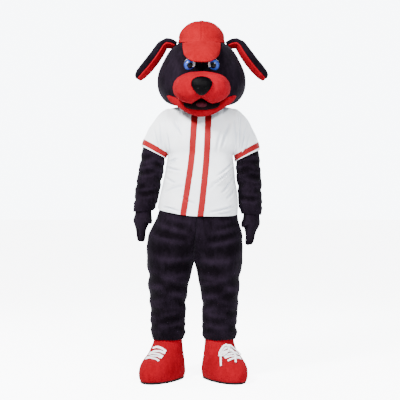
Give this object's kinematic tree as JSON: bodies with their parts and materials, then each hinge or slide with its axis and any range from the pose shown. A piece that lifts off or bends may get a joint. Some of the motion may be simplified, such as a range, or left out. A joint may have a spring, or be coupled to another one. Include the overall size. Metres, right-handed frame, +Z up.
{
  "type": "dog mascot costume, worn pose",
  "caption": "Full-body dog mascot costume with a padded head and cap, plush suit, striped short-sleeved jersey, gloves and laced shoes, hollow and standing as worn.",
  "frame": {"origin": "middle of the wearer's shoulder line, 1.46 m above the floor under the soles", "axes": "+Z up; the costume faces -Y; +X is the wearer's left"},
  "size_m": [0.7442, 0.584, 1.9666],
  "materials": {
    "plush_black": "short-pile black plush with a soft sheen",
    "plush_red": "short-pile red plush",
    "cap_red": "brushed red plush",
    "jersey_white": "smooth white sports knit",
    "band_red": "smooth red knit trim",
    "eye_white": "glossy moulded plastic",
    "eye_blue": "glossy moulded plastic, blue with a black pupil",
    "nose_black": "satin black moulded plastic",
    "mouth_dark": "dark matt felt",
    "tongue_red": "dull red felt",
    "sole_black": "matt black rubber",
    "lace_white": "flat white woven lace"
  },
  "bodies": {
    "root": {"cap_button": "cap_red", "cap_crown": "cap_red", "cap_peak": "cap_red", "ear_left": "plush_black", "ear_lining_left": "plush_red", "ear_lining_right": "plush_red", "ear_right": "plush_black", "eye_ball_left": "eye_white", "eye_ball_right": "eye_white", "eye_iris_left": "eye_blue", "eye_iris_right": "eye_blue", "glove_left": "plush_black", "glove_right": "plush_black", "head_shell": "plush_black", "jaw_panel": "plush_red", "jersey_back": "jersey_white", "jersey_front": "jersey_white", "jersey_sleeve_left": "jersey_white", "jersey_sleeve_right": "jersey_white", "jersey_stripe_left": "band_red", "jersey_stripe_right": "band_red", "lace_bow_left": "lace_white", "lace_end_left_a": "lace_white", "lace_end_left_b": "lace_white", "lace_left": "lace_white", "lace_right": "lace_white", "mouth_lining": "mouth_dark", "muzzle": "plush_red", "nose": "nose_black", "shoe_sole_left": "sole_black", "shoe_sole_right": "sole_black", "shoe_upper_left": "plush_red", "shoe_upper_right": "plush_red", "sleeve_band_left": "band_red", "sleeve_band_right": "band_red", "suit_back_left": "plush_black", "suit_back_right": "plush_black", "suit_front_left": "plush_black", "suit_front_right": "plush_black", "suit_leg_back_left": "plush_black", "suit_leg_back_right": "plush_black", "suit_leg_front_left": "plush_black", "suit_leg_front_right": "plush_black", "suit_sleeve_left": "plush_black", "suit_sleeve_right": "plush_black", "tongue": "tongue_red"}
  },
  "joints": []
}
